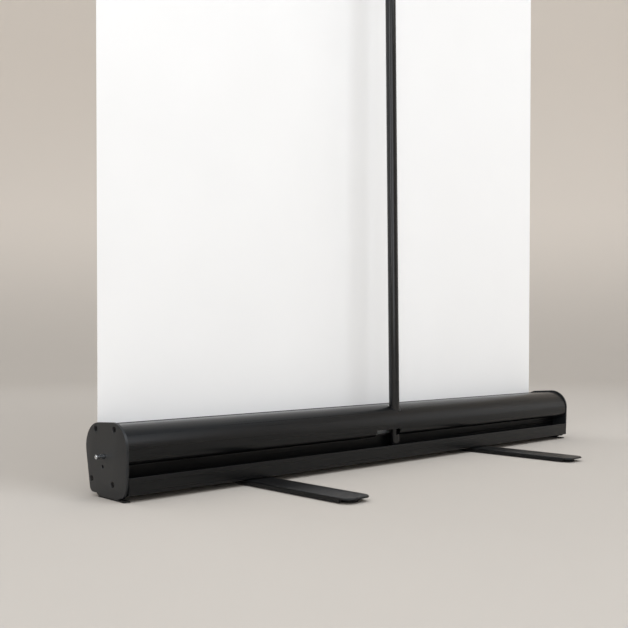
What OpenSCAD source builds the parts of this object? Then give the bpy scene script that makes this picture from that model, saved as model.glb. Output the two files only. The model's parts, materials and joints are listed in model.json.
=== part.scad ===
// Roll-up banner stand, standing open: a spring cassette on two swivel feet, a telescopic
// pole and a film banner drawn up to a clamp rail.
// X runs along the cassette, -Y is the printed side, +Y is the pole side, the floor is z = 0.

/* [Cassette] */
// Length over the two end plates
cassette_l = 870; // [860:1:880]
// Height of the cassette above the floor
cassette_h = 82; // [82:0.1:82.3]
// Wall thickness of the aluminium extrusion
wall = 1.8; // [1.6:0.1:2]
// Thickness of each end plate
plate_t = 3; // [2.5:0.1:3.2]
// Height of the rear channel's lip above the floor
lip_top = 26; // [24:0.5:28]

/* [Banner] */
// Width of the film
banner_w = 856; // [800:1:856]
// Height of the film that shows, from the slot to the rail
banner_h = 1968; // [1900:1:1980]
// Thickness of the film
film_t = 0.4; // [0.3:0.05:0.4]

/* [Pole] */
// Outer radius of the lowest tube
lower_r = 7.25; // [7.2:0.01:7.25]
// Lean of the pole towards the banner, in degrees
pole_lean = 0.8; // [0.75:0.01:0.85]
// Length of the lowest tube
lower_l = 780; // [760:1:790]
// Length of the middle tube, and of the top tube
upper_l = 764; // [750:1:770]
// How much of each upper tube stays inside the one below
overlap_l = 130; // [120:1:140]

/* [Feet] */
// Length of a foot bar
foot_l = 336; // [320:1:340]
// Width of a foot bar
foot_w = 38; // [36:0.5:40]
// Height of a foot bar's top above the floor
foot_top = 6.6; // [6.4:0.1:6.6]
// Distance from a foot's middle to its pivot
pivot_offset = 38; // [36:0.5:38]
// X of a foot's middle when it is folded away under the cassette
stowed_x = 219; // [215:1:222]

/* [Hidden] */
$fn = 64;

eps = 0.01;
graphite = "#3a3b3d";
deep_black = "#1d1d1f";
steel = "#b9bcc0";
film_white = "#f4f4f2";

// Cassette cross-section: circles that its outline is drawn round, as [y, z, r]
dome_front = [-52, cassette_h - 29, 27.4];
dome_rear = [-22.5, cassette_h - 27.8, 28];
toe_front = [-64.6, 11, 7];
toe_rear = [-13.6, 19.3, 18];
rim = 0.8;                    // how far the end plates stand proud of the extrusion
dome_drop = 2.2;              // how much further they stand proud along its top
base_z = 7.4;                 // underside of the extrusion
rear_y = 5.6;                 // rear face of the lip and of the drum
plate_x = cassette_l / 2 - plate_t;

// Rear channel, open between the lip and the drum's rounded lower edge
partition_y = -21.5;
ceiling_z = 38;
curl_r = 11;
curl_y = dome_rear[0] + dome_rear[2] - rim - curl_r;
curl_z = ceiling_z + curl_r;

// Window in the drum's lower edge, beside the pole
window_x = [4, 52];
window_y = -16;
window_top = 48;

// Screws of the end plates, as [y, z, direction of the nearest wall]
screw_spots = [[-58, 73.3, 90], [-19.2, 75, 90], [-67, 18.5, 180], [-23, 16.4, 270]];
screw_r = 1.6;
port_r = 3.1;

// Roller
roller_y = -40;
roller_z = 45;
roller_r = 11;
roller_wall = 1.2;
roll_r = 13.2;
shaft_r = 2.5;
shaft_out = 10;
run_gap = 0.05;

// Banner
banner_y = -66.5;
slot_y = [-68.6, -63.2];
slot_z = 76;
rail_z = slot_z + banner_h;
rail_h = 36;
rail_l = banner_w;

// Pole
pole_z = 10;
pole_y = -11.4 + (85.6 - pole_z) * tan(pole_lean);
tube_wall = 1;
tube_step = 1.35;             // fall in outer radius from one tube to the next
middle_r = lower_r - tube_step;
top_r = middle_r - tube_step + 0.1;
middle_s = lower_l - overlap_l;
top_s = middle_s + upper_l - overlap_l;
tip_s = top_s + upper_l;
collar_h = 24;

// Feet
pivot_y = -38;
pivot_near_x = stowed_x + pivot_offset;
pivot_far_x = -stowed_x + pivot_offset;
foot_web = 2;
foot_wall = 1.8;
foot_floor_gap = 1.2;
foot_corner_r = 11;
foot_tip_open = 13; // length of each round tip that is left open below the web
rivet_r = 3;

// A profile drawn as [y, z], extruded along X from x0
module along_x(x0, length) {
    translate([x0, 0, 0]) rotate([90, 0, 90]) linear_extrude(length) children();
}

// A cylinder along X
module rod_x(x0, length, r) {
    translate([x0, 0, 0]) rotate([0, 90, 0]) cylinder(r = r, h = length);
}

// The pole's own frame: +Z along the leaning pole, from the bottom of its lowest tube
module on_pole() {
    translate([0, pole_y, pole_z]) rotate([pole_lean, 0, 0]) children();
}

module on_roller() {
    translate([0, roller_y, roller_z]) children();
}

module disc_at(spot, inset) {
    translate([spot[0], spot[1]]) circle(r = spot[2] - inset);
}

// Round top and front of the cassette, drawn in by inset
module drum_outline(inset) {
    hull() {
        translate([0, -dome_drop]) {
            disc_at(dome_front, inset);
            disc_at(dome_rear, inset);
        }
        disc_at(toe_front, inset);
        translate([rear_y - 2 - inset + rim, base_z + inset - rim]) square([2, 2]);
    }
}

// The extrusion's outer or inner skin, cut flat at its underside
module housing_skin(inset) {
    intersection() {
        drum_outline(rim + inset);
        translate([-100, base_z + inset]) square([200, 100]);
    }
}

function arc(y, z, r, from, to, steps) =
    [for (i = [0 : steps]) let (a = from + (to - from) * i / steps) [y + r * cos(a), z + r * sin(a)]];

// Room for the roller: the inner skin, less the rear channel and its walls
module drum_hollow() {
    difference() {
        housing_skin(wall);
        polygon(concat(
            [[partition_y, 0], [partition_y, ceiling_z + wall]],
            arc(curl_y, curl_z, curl_r - wall, -90, 0, 12),
            [[100, curl_z], [100, 0]]
        ));
    }
}

// Rear channel, with a mouth between its lip and the drum's rounded lower edge
module channel_hollow() {
    polygon(concat(
        [[partition_y + wall, ceiling_z], [partition_y + wall, base_z + wall],
         [rear_y - wall, base_z + wall], [rear_y - wall, lip_top], [100, lip_top], [100, curl_z]],
        arc(curl_y, curl_z, curl_r, 0, -90, 12)
    ));
}

// Round port for a self-tapping screw, with a web that joins it to the wall
module screw_port(spot) {
    translate([spot[0], spot[1]]) {
        circle(r = port_r);
        rotate(spot[2]) translate([0, -1.2]) square([9, 2.4]);
    }
}

module housing_profile() {
    difference() {
        housing_skin(0);
        difference() {
            drum_hollow();
            for (spot = screw_spots) screw_port(spot);
        }
        channel_hollow();
        translate([slot_y[0], 66]) square([slot_y[1] - slot_y[0], 20]);
        for (spot = screw_spots) translate([spot[0], spot[1]]) circle(r = screw_r + 0.1);
    }
}

module cassette_housing() {
    color(graphite) difference() {
        along_x(-plate_x, 2 * plate_x) housing_profile();
        // hole for the pole, through the dome and the channel's ceiling
        on_pole() translate([0, 0, 20]) cylinder(r = lower_r + 0.65, h = 60);
        // window beside the pole
        translate([window_x[0], window_y, ceiling_z - 1])
            cube([window_x[1] - window_x[0], rear_y - window_y + 1, window_top - ceiling_z + 1]);
        for (x = [pivot_near_x, pivot_far_x])
            translate([x, pivot_y, base_z - 1]) cylinder(r = rivet_r + run_gap, h = wall + 2);
    }
}

// Moulded edge that the film runs over
module slot_guide() {
    nose_r = 1.2;
    leg_t = 1.1;
    nose_z = slot_z - 0.1;
    color(deep_black) along_x(-banner_w / 2 - 3, banner_w + 6) {
        translate([slot_y[1] - nose_r, nose_z]) circle(r = nose_r);
        translate([slot_y[1] - leg_t, nose_z - 2.9]) square([leg_t, 2.9]);
    }
}

// ---- end plates ----

pad_t = 1.5;
pad_w = 8;
lug_y = [-53, -12.7];

module plate_outline() {
    intersection() {
        hull() {
            disc_at(dome_front, 0);
            disc_at(dome_rear, 0);
            disc_at(toe_front, 0);
            disc_at(toe_rear, 0);
        }
        translate([-100, 4]) square([200, 100]);
    }
    // lug that reaches down to the rubber pad
    translate([0, pad_t]) polygon([[lug_y[0] - 6, 4], [lug_y[0], 0], [lug_y[1], 0], [lug_y[1] + 9, 4]]);
}

module end_plate(side) {
    x0 = side > 0 ? plate_x : -cassette_l / 2;
    difference() {
        along_x(x0, plate_t) plate_outline();
        on_roller() rod_x(x0 - 1, plate_t + 2, shaft_r + run_gap);
        // hole for the pin that locks the roller in transport
        translate([0, -43.3, 33.5]) rod_x(x0 - 1, plate_t + 2, 1.8);
        for (spot = screw_spots) translate([0, spot[0], spot[1]]) {
            rod_x(x0 - 1, plate_t + 2, screw_r + 0.4);
            rod_x(side > 0 ? cassette_l / 2 - 1.6 : -cassette_l / 2 - 1, 2.6, port_r + 0.1);
        }
    }
}

module end_plate_near() { color(graphite) end_plate(1); }
module end_plate_far() { color(graphite) end_plate(-1); }

// Four self-tapping screws, their heads just below the plate's face
module end_plate_screws(side) {
    for (spot = screw_spots) translate([side * (cassette_l / 2 - 0.3), spot[0], spot[1]])
        rotate([0, -side * 90, 0]) {
            cylinder(r = port_r - 0.1, h = 1.2);
            cylinder(r = screw_r, h = 14);
        }
}

module end_plate_screws_near() { color(deep_black) end_plate_screws(1); }
module end_plate_screws_far() { color(deep_black) end_plate_screws(-1); }

module end_pad(side) {
    x0 = side > 0 ? cassette_l / 2 - pad_w : -cassette_l / 2;
    translate([x0, lug_y[0], 0]) cube([pad_w, lug_y[1] - lug_y[0] + 13, pad_t]);
}

module end_pad_near() { color(deep_black) end_pad(1); }
module end_pad_far() { color(deep_black) end_pad(-1); }

// ---- roller ----

plug_l = 22;
flange_t = 1.5;
roller_end = banner_w / 2 + 1;

// Fixed shaft that the spring winds against
module spring_shaft() {
    color(steel) on_roller() rod_x(roller_end - 160, cassette_l / 2 + shaft_out - roller_end + 160, shaft_r);
}

module idler_shaft() {
    color(steel) on_roller() rod_x(-cassette_l / 2 - shaft_out, cassette_l / 2 + shaft_out - roller_end + 40, shaft_r);
}

module thrust_washer(x0) {
    on_roller() difference() {
        rod_x(x0, 1, 7);
        rod_x(x0 - 1, 3, shaft_r + run_gap);
    }
}

module thrust_washer_near() { color(film_white) thrust_washer(roller_end + flange_t + 0.5); }
module thrust_washer_far() { color(film_white) thrust_washer(-roller_end - flange_t - 1.5); }

module roller_tube() {
    color(steel) on_roller() difference() {
        rod_x(-roller_end, 2 * roller_end, roller_r);
        rod_x(-roller_end - 1, 2 * roller_end + 2, roller_r - roller_wall);
    }
}

module roller_plug(side) {
    on_roller() difference() {
        union() {
            rod_x(side > 0 ? roller_end - plug_l : -roller_end, plug_l, roller_r - roller_wall - run_gap);
            rod_x(side > 0 ? roller_end : -roller_end - flange_t, flange_t, roller_r + 0.4);
        }
        rod_x(side > 0 ? roller_end - plug_l - 1 : -roller_end - 5, plug_l + 6, shaft_r + run_gap);
    }
}

module roller_plug_near() { color(deep_black) roller_plug(1); }
module roller_plug_far() { color(deep_black) roller_plug(-1); }

// Block that turns with the tube and holds the spring's inner end
module spring_anchor() {
    color(deep_black) on_roller() rod_x(roller_end - 190, 18, roller_r - roller_wall - run_gap);
}

spring_turns = 20;
spring_sides = 6;
spring_steps = 12;
spring_coil_r = 6.5;
spring_wire_r = 0.9;
spring_l = 130;

// Ring of the helix after a given share of its turns
function spring_ring(i) =
    let (turn = 360 * i / spring_steps, x = spring_l * i / (spring_steps * spring_turns))
    [for (k = [0 : spring_sides - 1])
        let (a = 360 * k / spring_sides, r = spring_coil_r + spring_wire_r * cos(a))
        [x + spring_wire_r * sin(a), r * cos(turn), r * sin(turn)]];

module torsion_spring() {
    rings = spring_steps * spring_turns;
    points = [for (i = [0 : rings]) each spring_ring(i)];
    last = rings * spring_sides;
    sides = [for (i = [0 : rings - 1], k = [0 : spring_sides - 1])
        let (a = i * spring_sides + k, b = i * spring_sides + (k + 1) % spring_sides)
        [a, b, b + spring_sides, a + spring_sides]];
    color(steel) on_roller() translate([roller_end - 162, 0, 0])
        polyhedron(points, concat(sides,
            [[for (k = [spring_sides - 1 : -1 : 0]) k]],
            [[for (k = [0 : spring_sides - 1]) last + k]]), convexity = 10);
}

// ---- banner ----

// Turns of film left on the roller
module banner_roll() {
    color(film_white) on_roller() difference() {
        rod_x(-banner_w / 2, banner_w, roll_r);
        rod_x(-banner_w / 2 - 1, banner_w + 2, roller_r + run_gap);
    }
}

// Film from the roll's front side up to the slot
module banner_lead() {
    to_slot = [banner_y - roller_y, slot_z - roller_z];
    reach = norm(to_slot);
    clear_r = roll_r + 0.35 + film_t / 2;
    leave = atan2(to_slot[1], to_slot[0]) + acos(clear_r / reach);
    start = [roller_y + clear_r * cos(leave), roller_z + clear_r * sin(leave)];
    side = film_t / 2 * [cos(leave), sin(leave)];
    color(film_white) along_x(-banner_w / 2, banner_w) polygon([
        start - side, start + side,
        [banner_y - film_t / 2, slot_z], [banner_y + film_t / 2, slot_z]
    ]);
}

module film(z0, z1) {
    translate([-banner_w / 2, banner_y - film_t / 2, z0]) cube([banner_w, film_t, z1 - z0]);
}

module banner_sheet() { color(film_white) film(slot_z, rail_z); }
module banner_top_edge() { color(film_white) film(rail_z, rail_z + rail_h - 5); }

// ---- pole ----

module tube(s, length, r) {
    on_pole() translate([0, 0, s]) difference() {
        cylinder(r = r, h = length);
        translate([0, 0, -1]) cylinder(r = r - tube_wall, h = length + 2);
    }
}

// Twist collar at the mouth of a tube, which the next tube slides through
module collar(s, outside_r, inside_r) {
    on_pole() translate([0, 0, s - collar_h + 6]) difference() {
        cylinder(r = outside_r + 2.2, h = collar_h);
        translate([0, 0, -1]) cylinder(r = outside_r + run_gap, h = collar_h - 5);
        cylinder(r = inside_r + 0.1, h = collar_h + 1);
    }
}

// Bush on the lower end of a sliding tube
module bush(s, tube_r, bore_r) {
    on_pole() translate([0, 0, s]) {
        translate([0, 0, -6]) cylinder(r = bore_r - 0.08, h = 6);
        cylinder(r = tube_r - tube_wall - run_gap, h = 14);
    }
}

module pole_lower_tube() { color(deep_black) tube(0, lower_l, lower_r); }
module pole_lower_collar() { color(deep_black) collar(lower_l, lower_r, middle_r); }
module pole_middle_bush() { color(deep_black) bush(middle_s, middle_r, lower_r - tube_wall); }
module pole_middle_tube() { color(deep_black) tube(middle_s, upper_l, middle_r); }
module pole_middle_collar() { color(deep_black) collar(middle_s + upper_l, middle_r, top_r); }
module pole_top_bush() { color(deep_black) bush(top_s, top_r, middle_r - tube_wall); }
module pole_top_tube() { color(deep_black) tube(top_s, upper_l, top_r); }

module pole_foot_plug() {
    color(deep_black) on_pole() cylinder(r = lower_r - tube_wall - run_gap, h = 20);
}

// Cup on the channel's floor that the pole stands in
module pole_socket() {
    color(deep_black) difference() {
        translate([0, pole_y, base_z + wall]) cylinder(r = lower_r + 1.9, h = 14);
        on_pole() cylinder(r = lower_r + run_gap, h = 30);
    }
}

// Sleeve under the dome's hole
module pole_guide_sleeve() {
    sleeve_l = 13;
    color(deep_black) on_pole() translate([0, 0, 40]) difference() {
        cylinder(r = lower_r + 1.1, h = sleeve_l);
        translate([0, 0, -1]) cylinder(r = lower_r + run_gap, h = sleeve_l + 2);
    }
}

// ---- top rail ----

rail_wall = 1.8;
hook_z = rail_z + 13;         // underside of the rail's rear slot
hook_h = 15;
slot_mouth = 8;
back_y = banner_y + film_t / 2 + 0.05;
back_depth = 8;

// Back half: a plate that the film lies against, with a slot behind it for the pole's hook
module rail_back() {
    color(graphite) along_x(-rail_l / 2, rail_l) {
        translate([back_y, rail_z]) square([rail_wall, rail_h]);
        difference() {
            translate([back_y, hook_z - rail_wall]) square([back_depth, hook_h + 2 * rail_wall]);
            translate([back_y + rail_wall, hook_z]) square([back_depth - 2 * rail_wall, hook_h]);
            translate([back_y + rail_wall, hook_z + (hook_h - slot_mouth) / 2]) square([back_depth, slot_mouth]);
        }
    }
}

// Front half: a shallow cover that clamps the film
module rail_front() {
    front_depth = 7;
    y1 = banner_y - film_t / 2 - 0.05;
    color(graphite) along_x(-rail_l / 2, rail_l) {
        difference() {
            hull() {
                translate([y1 - 1, rail_z]) square([1, rail_h]);
                translate([y1 - front_depth + 3, rail_z + 3]) circle(r = 3);
                translate([y1 - front_depth + 3, rail_z + rail_h - 3]) circle(r = 3);
            }
            translate([y1 - front_depth + rail_wall, rail_z + rail_wall])
                square([front_depth, rail_h - 2 * rail_wall]);
        }
        // ribs that press on the film
        for (z = [rail_z + 8, rail_z + rail_h - 10])
            translate([y1 - front_depth + rail_wall - eps, z]) square([front_depth - rail_wall + eps, rail_wall]);
    }
}

module rail_cap(x0) {
    translate([x0, banner_y - 8, rail_z - 1]) cube([3, 17.5, rail_h + 2]);
}

module rail_cap_near() { color(deep_black) rail_cap(rail_l / 2); }
module rail_cap_far() { color(deep_black) rail_cap(-rail_l / 2 - 3); }

// Plug in the top tube, with an arm that ends in a T inside the rail's rear slot
module pole_tip_hook() {
    arm_z = hook_z + hook_h / 2;
    slot_in = back_y + rail_wall + 0.2;
    tip_y = pole_y - tip_s * sin(pole_lean);
    color(deep_black) {
        on_pole() translate([0, 0, tip_s]) {
            translate([0, 0, -20]) cylinder(r = top_r - tube_wall - run_gap, h = 20);
            cylinder(r = 6.5, h = 12);
        }
        translate([-4, slot_in, arm_z - slot_mouth / 2 + 0.4]) cube([8, tip_y - slot_in, slot_mouth - 0.8]);
        translate([-8, slot_in, hook_z + 0.4]) cube([16, 3.5, hook_h - 0.8]);
    }
}

// ---- feet ----

// Rectangle with round corners, centred
module round_rect(length, width, r) {
    square([length, width - 2 * r], center = true);
    square([length - 2 * r, width], center = true);
    for (x = [-1, 1], y = [-1, 1])
        translate([x * (length / 2 - r), y * (width / 2 - r)]) circle(r = r);
}

// Pressed steel bar, hollow underneath, drawn along Y with its pivot at the origin
module foot_bar() {
    difference() {
        translate([0, pivot_offset, foot_floor_gap]) rotate([0, 0, 90])
            linear_extrude(foot_top - foot_floor_gap) round_rect(foot_l, foot_w, foot_corner_r);
        translate([0, pivot_offset, foot_floor_gap - 1]) rotate([0, 0, 90])
            linear_extrude(foot_top - foot_floor_gap - foot_web + 1)
                round_rect(foot_l - 2 * foot_wall, foot_w - 2 * foot_wall, foot_corner_r - foot_wall);
        for (end = [-1, 1])
            translate([-foot_w / 2 - 1, pivot_offset + end * foot_l / 2 - foot_tip_open, foot_floor_gap - 1])
                cube([foot_w + 2, 2 * foot_tip_open, foot_top - foot_web - foot_floor_gap + 1]);
        cylinder(r = rivet_r + 0.08, h = 20);
    }
}

// Rubber pads under the two ends of a bar
module foot_pads() {
    for (end = [-1, 1])
        translate([0, pivot_offset + end * (foot_l / 2 - 16), 0])
            cylinder(r = 9, h = foot_top - foot_web);
}

// Washer between bar and cassette, so that the foot stays where it is turned
module foot_washer() {
    gap = 0.08;
    translate([0, 0, foot_top + gap]) difference() {
        cylinder(r = 13, h = base_z - foot_top - 2 * gap);
        translate([0, 0, -1]) cylinder(r = rivet_r + 0.08, h = 4);
    }
}

// Pivot rivet, its heads above the cassette's floor and inside the bar
module foot_rivet() {
    head_h = 1.8;
    foot_under = foot_top - foot_web;
    translate([0, 0, foot_under - 0.08 - head_h]) cylinder(r = 7, h = head_h);
    translate([0, 0, foot_under - 1]) cylinder(r = rivet_r, h = base_z + wall + 1 - foot_under);
    translate([0, 0, base_z + wall]) cylinder(r = 6, h = head_h);
}

module at_pivot(x) { translate([x, pivot_y, 0]) children(); }

module foot_bar_near() { color(graphite) at_pivot(pivot_near_x) foot_bar(); }
module foot_pads_near() { color(deep_black) at_pivot(pivot_near_x) foot_pads(); }
module foot_washer_near() { color(steel) at_pivot(pivot_near_x) foot_washer(); }
module foot_rivet_near() { color(steel) at_pivot(pivot_near_x) foot_rivet(); }
module foot_bar_far() { color(graphite) at_pivot(pivot_far_x) foot_bar(); }
module foot_pads_far() { color(deep_black) at_pivot(pivot_far_x) foot_pads(); }
module foot_washer_far() { color(steel) at_pivot(pivot_far_x) foot_washer(); }
module foot_rivet_far() { color(steel) at_pivot(pivot_far_x) foot_rivet(); }

cassette_housing();
slot_guide();
end_plate_near();
end_plate_far();
end_plate_screws_near();
end_plate_screws_far();
end_pad_near();
end_pad_far();
spring_shaft();
idler_shaft();
thrust_washer_near();
thrust_washer_far();
roller_tube();
roller_plug_near();
roller_plug_far();
spring_anchor();
torsion_spring();
banner_roll();
banner_lead();
banner_sheet();
banner_top_edge();
pole_socket();
pole_guide_sleeve();
pole_foot_plug();
pole_lower_tube();
pole_lower_collar();
pole_middle_bush();
pole_middle_tube();
pole_middle_collar();
pole_top_bush();
pole_top_tube();
pole_tip_hook();
rail_back();
rail_front();
rail_cap_near();
rail_cap_far();
foot_bar_near();
foot_pads_near();
foot_washer_near();
foot_rivet_near();
foot_bar_far();
foot_pads_far();
foot_washer_far();
foot_rivet_far();
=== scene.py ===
# %% [markdown]
# # A roll-up banner stand
# The stand is a spring cassette on two swivel feet. A film banner comes up out of a slot in the
# cassette to a clamp rail, and a telescopic pole behind it holds the rail up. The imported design
# already fixes every size, joint and place. This notebook only dresses it, so it loads that design
# as a fixed frame first. Each finished piece then rides on one of its moving bodies.

# %% Load the frame
import json
import math

import bmesh
import bpy
from mathutils import Matrix, Vector


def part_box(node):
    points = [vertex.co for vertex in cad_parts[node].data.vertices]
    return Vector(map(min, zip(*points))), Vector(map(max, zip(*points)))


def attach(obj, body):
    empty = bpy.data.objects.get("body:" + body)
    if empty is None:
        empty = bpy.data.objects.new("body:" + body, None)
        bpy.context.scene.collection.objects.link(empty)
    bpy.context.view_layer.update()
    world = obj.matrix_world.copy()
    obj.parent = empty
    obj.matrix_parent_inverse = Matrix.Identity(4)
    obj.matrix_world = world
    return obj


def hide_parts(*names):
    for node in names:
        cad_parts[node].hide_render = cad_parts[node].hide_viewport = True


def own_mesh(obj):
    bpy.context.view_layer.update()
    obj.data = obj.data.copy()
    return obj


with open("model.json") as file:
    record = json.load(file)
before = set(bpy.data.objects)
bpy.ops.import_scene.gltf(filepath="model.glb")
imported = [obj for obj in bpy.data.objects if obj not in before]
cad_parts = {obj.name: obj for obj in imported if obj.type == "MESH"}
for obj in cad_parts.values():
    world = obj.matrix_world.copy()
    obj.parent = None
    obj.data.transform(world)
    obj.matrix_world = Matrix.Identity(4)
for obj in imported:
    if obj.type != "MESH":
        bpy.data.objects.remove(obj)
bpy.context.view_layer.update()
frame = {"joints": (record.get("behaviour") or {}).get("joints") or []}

MM = 0.001  # outlines are written in millimetres, as on a drawing, and made into metres

# %% [markdown]
# ## Camera
# The camera stands low behind the stand, at the pole's side, and looks along the cassette from its
# nearer end. A lens of about 48 mm gives the mild perspective of a product shot. The optical axis
# is almost level, which keeps the upright edges parallel, and a small vertical shift then frames
# the foot of the stand.

# %% Camera
camera = bpy.data.objects.new("camera", bpy.data.cameras.new("camera"))
camera.data.sensor_width = 36.0
camera.data.lens = 48.28
camera.data.shift_y = 0.0683
camera.data.clip_start, camera.data.clip_end = 0.02, 40.0
camera.location = (0.8884, 0.7644, 0.1662)
line_of_sight = Vector((-0.6874, -0.7261, -0.0170))
camera.rotation_euler = line_of_sight.to_track_quat("-Z", "Y").to_euler()
bpy.context.scene.collection.objects.link(camera)
bpy.context.scene.camera = camera

# %% [markdown]
# ## Helpers for materials
# A colour is picked as an sRGB hex value, and a shader calculates in linear light, so one function
# turns one into the other. Another adds a node with its settings and links, which keeps a material
# down to the few lines that say what it is.

# %% Helpers for materials
def linear(colour):
    """An sRGB hex colour as linear red, green, blue and alpha."""
    parts = [int(colour[i:i + 2], 16) / 255 for i in (1, 3, 5)]
    return [p / 12.92 if p <= 0.04045 else ((p + 0.055) / 1.055) ** 2.4 for p in parts] + [1.0]


def add(tree, kind, inputs=(), **settings):
    """Adds a node. Each input is named or numbered, and takes a value or another node's output."""
    node = tree.nodes.new(kind)
    for name, value in settings.items():
        setattr(node, name, value)
    for key, value in dict(inputs).items():
        if isinstance(value, bpy.types.NodeSocket):
            tree.links.new(value, node.inputs[key])
        else:
            node.inputs[key].default_value = value
    return node


def finish(name, colour, metallic=0.0, **sockets):
    """A material with plain values on its shader, and that shader's tree."""
    material = bpy.data.materials.new(name)
    material.use_nodes = True
    shader = material.node_tree.nodes["Principled BSDF"]
    shader.inputs["Base Color"].default_value = linear(colour)
    shader.inputs["Metallic"].default_value = metallic
    for socket, value in sockets.items():
        shader.inputs[socket.replace("_", " ")].default_value = value
    return material, material.node_tree, shader


def texture(tree, shader, grain, gloss, depth, shades, stretch=(1, 1, 1), detail=3.0):
    """One uneven pattern that drives gloss, height and shade. grain and depth are in millimetres."""
    where = add(tree, "ShaderNodeTexCoord")
    scaled = add(tree, "ShaderNodeMapping", {
        "Vector": where.outputs["Object"],
        "Scale": [1 / (grain * MM * s) for s in stretch],
    })
    noise = add(tree, "ShaderNodeTexNoise", {
        "Vector": scaled.outputs["Vector"], "Scale": 1.0, "Detail": detail, "Roughness": 0.6,
    })
    rough = add(tree, "ShaderNodeMapRange", {
        "Value": noise.outputs["Fac"], "From Min": 0.3, "From Max": 0.7,
        "To Min": gloss[0], "To Max": gloss[1],
    })
    bump = add(tree, "ShaderNodeBump", {
        "Height": noise.outputs["Fac"], "Strength": 1.0, "Distance": depth * MM,
    })
    shade = add(tree, "ShaderNodeMix", {
        0: noise.outputs["Fac"], 6: linear(shades[0]), 7: linear(shades[1]),
    }, data_type="RGBA")
    tree.links.new(rough.outputs["Result"], shader.inputs["Roughness"])
    tree.links.new(bump.outputs["Normal"], shader.inputs["Normal"])
    tree.links.new(shade.outputs[2], shader.inputs["Base Color"])
    return noise

# %% [markdown]
# ## Finishes
# Each finish starts from what the real surface is and how it was made. The dark ones differ mostly
# in gloss and in the scale of their texture, so those two values get the most care.

# %% Black anodised extrusion
def anodised_extrusion():
    """Extruded aluminium, dyed black in the anodising bath: satin, with faint lines along the die."""
    material, tree, shader = finish("black_anodised_extrusion", "#0a0b0c", IOR=1.34)
    # real die lines are 0.1 mm wide; drawn at 1.2 mm so that they show
    texture(tree, shader, 1.2, (0.26, 0.34), 0.004, ("#08090a", "#0c0d0e"), stretch=(260, 1, 1))
    return material

# %% Moulded end plates
def moulded_plate():
    """ABS moulded in a spark-eroded tool: dark grey, with a fine even grain that softens highlights."""
    material, tree, shader = finish("moulded_abs_satin", "#1b1c1d", IOR=1.45)
    texture(tree, shader, 0.7, (0.36, 0.46), 0.012, ("#17191b", "#1f2123"))
    return material


def moulded_fitting():
    """Nylon moulded in a polished tool: plain black, a little duller than the end plates."""
    material, tree, shader = finish("moulded_nylon_black", "#0c0c0d", IOR=1.52)
    texture(tree, shader, 0.9, (0.42, 0.55), 0.010, ("#0a0a0b", "#101011"))
    return material

# %% Pole, feet and screws
def anodised_tube():
    """Drawn aluminium tube, bright-dipped and anodised black: glossy, with long drawing lines."""
    material, tree, shader = finish("black_anodised_tube", "#0b0b0d", IOR=1.45)
    texture(tree, shader, 0.8, (0.13, 0.19), 0.002, ("#09090b", "#0e0e10"), stretch=(1, 1, 400))
    return material


def powder_coat():
    """Pressed steel under black powder coat, which melts into a fine orange peel as it cures."""
    material, tree, shader = finish("powder_coated_steel", "#0d0d0e", IOR=1.36)
    texture(tree, shader, 1.1, (0.34, 0.44), 0.012, ("#0b0b0c", "#111112"))
    return material


def black_oxide():
    """Steel screw in black oxide: metal shows through a thin dark skin, oily and uneven."""
    material, tree, shader = finish("black_oxide_steel", "#1c1c1e", metallic=1.0)
    texture(tree, shader, 0.6, (0.35, 0.5), 0.01, ("#161617", "#262628"))
    return material

# %% Bright metals
def zinc_plate():
    """Steel, turned and then zinc plated: bright, slightly blue, with a faint cloudiness."""
    material, tree, shader = finish("zinc_plated_steel", "#c9ccd0", metallic=1.0)
    texture(tree, shader, 1.5, (0.18, 0.30), 0.004, ("#bcc0c5", "#d6d8da"))
    return material


def raw_aluminium():
    """Aluminium left as the saw or mill leaves it: bright, with short tool marks."""
    material, tree, shader = finish("mill_finish_aluminium", "#d2d4d6", metallic=1.0)
    texture(tree, shader, 0.5, (0.24, 0.36), 0.006, ("#c4c6c9", "#dcdedf"), stretch=(6, 1, 1))
    return material


def spring_wire():
    """Oil-tempered spring wire: dark grey steel with a thin film of oil."""
    material, tree, shader = finish("oil_tempered_wire", "#6e6f72", metallic=1.0)
    texture(tree, shader, 0.8, (0.25, 0.4), 0.005, ("#5c5d60", "#808184"))
    return material

# %% Rubber, nylon and film
def rubber():
    """Moulded rubber: no gloss to speak of, and a dusty grain."""
    material, tree, shader = finish("moulded_rubber", "#0b0b0b", IOR=1.52)
    texture(tree, shader, 0.5, (0.72, 0.86), 0.02, ("#090909", "#121212"))
    return material


def natural_nylon():
    """Undyed nylon, sawn from bar: waxy off-white."""
    material, tree, shader = finish("natural_nylon", "#dedad0", IOR=1.53, Subsurface_Weight=0.15)
    texture(tree, shader, 0.8, (0.4, 0.5), 0.008, ("#d6d2c7", "#e4e0d7"))
    return material


def banner_film():
    """White polyester film, cast and calendered: very even, satin, with only a broad, soft ripple."""
    material, tree, shader = finish("white_polyester_film", "#f7f7f6", IOR=1.57)
    texture(tree, shader, 90.0, (0.38, 0.46), 0.25, ("#f6f6f5", "#f9f9f8"), detail=1.0)
    return material


FINISH = {
    "cassette_shell": anodised_extrusion(), "end_plate": moulded_plate(),
    "black_plastic": moulded_fitting(), "screw": black_oxide(), "rubber_pad": rubber(),
    "plated_steel": zinc_plate(), "spring_steel": spring_wire(), "nylon": natural_nylon(),
    "mill_aluminium": raw_aluminium(), "banner_film": banner_film(),
    "pole_tube": anodised_tube(), "foot_steel": powder_coat(),
}
print("finishes", len(FINISH))

# %% [markdown]
# ## Helpers for shapes
# Most pieces here are either drawn out along the cassette or turned about an axis. Both are rings
# of points with faces between them, so one function, skin, makes them all.

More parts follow.
